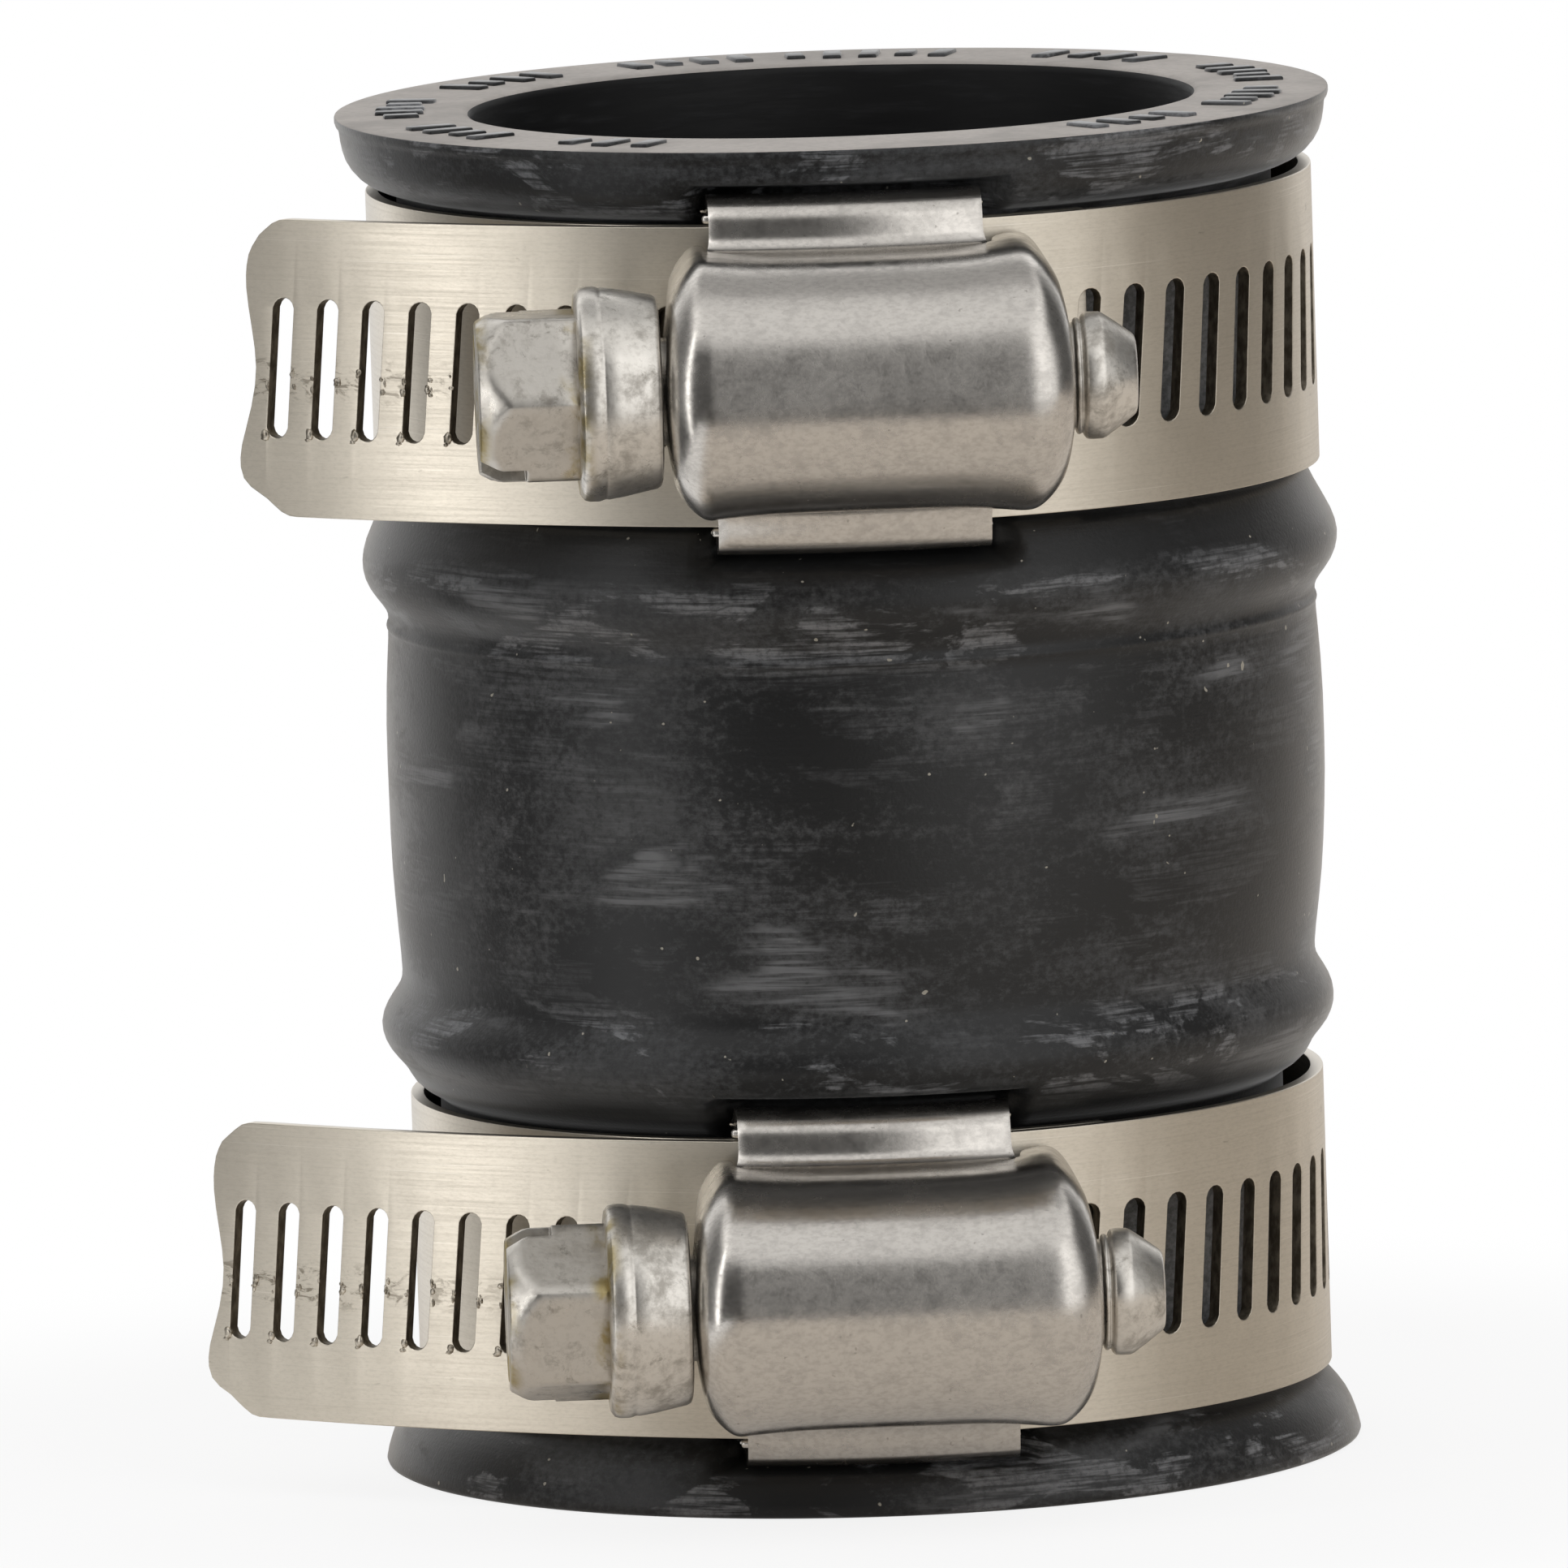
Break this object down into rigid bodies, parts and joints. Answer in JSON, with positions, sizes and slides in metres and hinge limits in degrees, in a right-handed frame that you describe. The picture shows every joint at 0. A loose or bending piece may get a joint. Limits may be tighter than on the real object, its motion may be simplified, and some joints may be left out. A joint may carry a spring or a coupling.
{
  "type": "flexible pipe coupling",
  "caption": "Short black rubber sleeve with a lip and a bead at each end, which joins two plain drain pipes and is drawn tight on them by perforated steel worm-drive clamps.",
  "frame": {"origin": "centre of the lower end face, at the mouth of the lower socket", "axes": "+Z along the sleeve to its upper end, -Y to the clamp screws at the front, +X to the screws' tips"},
  "size_m": [0.0632, 0.0641, 0.073],
  "materials": {
    "rubber": "matt moulded black with a grey bloom",
    "band_steel": "rolled stainless strip, brushed along its length",
    "housing_steel": "satin pressed stainless",
    "screw_steel": "dull zinc plate"
  },
  "bodies": {
    "sleeve": {"rubber_sleeve": "rubber", "upper_housing": "housing_steel", "upper_saddle": "housing_steel", "lower_housing": "housing_steel", "lower_saddle": "housing_steel"},
    "upper_screw": {"upper_screw": "screw_steel"},
    "upper_band": {"upper_band": "band_steel"},
    "lower_screw": {"lower_screw": "screw_steel"},
    "lower_band": {"lower_band": "band_steel"}
  },
  "joints": [
    {"name": "upper_screw_turn", "type": "hinge", "parent": "sleeve", "child": "upper_screw", "pos_m": [0, -0.03076, 0.06085], "axis": [1, 0, 0], "range_deg": [-720, 1440]},
    {"name": "upper_band_feed", "type": "hinge", "parent": "sleeve", "child": "upper_band", "pos_m": [0, -0.0008, 0.06085], "axis": [0, 0, -1], "range_deg": [-13.08, 26.11]},
    {"name": "lower_screw_turn", "type": "hinge", "parent": "sleeve", "child": "lower_screw", "pos_m": [0, -0.02996, 0.01215], "axis": [1, 0, 0], "range_deg": [-720, 1440]},
    {"name": "lower_band_feed", "type": "hinge", "parent": "sleeve", "child": "lower_band", "pos_m": [0, -0.0008, 0.01215], "axis": [0, 0, -1], "range_deg": [-13.51, 26.97]}
  ],
  "couplings": [
    {"joint": "upper_band_feed", "follows": "upper_screw_turn", "ratio": 0.018099},
    {"joint": "lower_band_feed", "follows": "lower_screw_turn", "ratio": 0.018693}
  ]
}
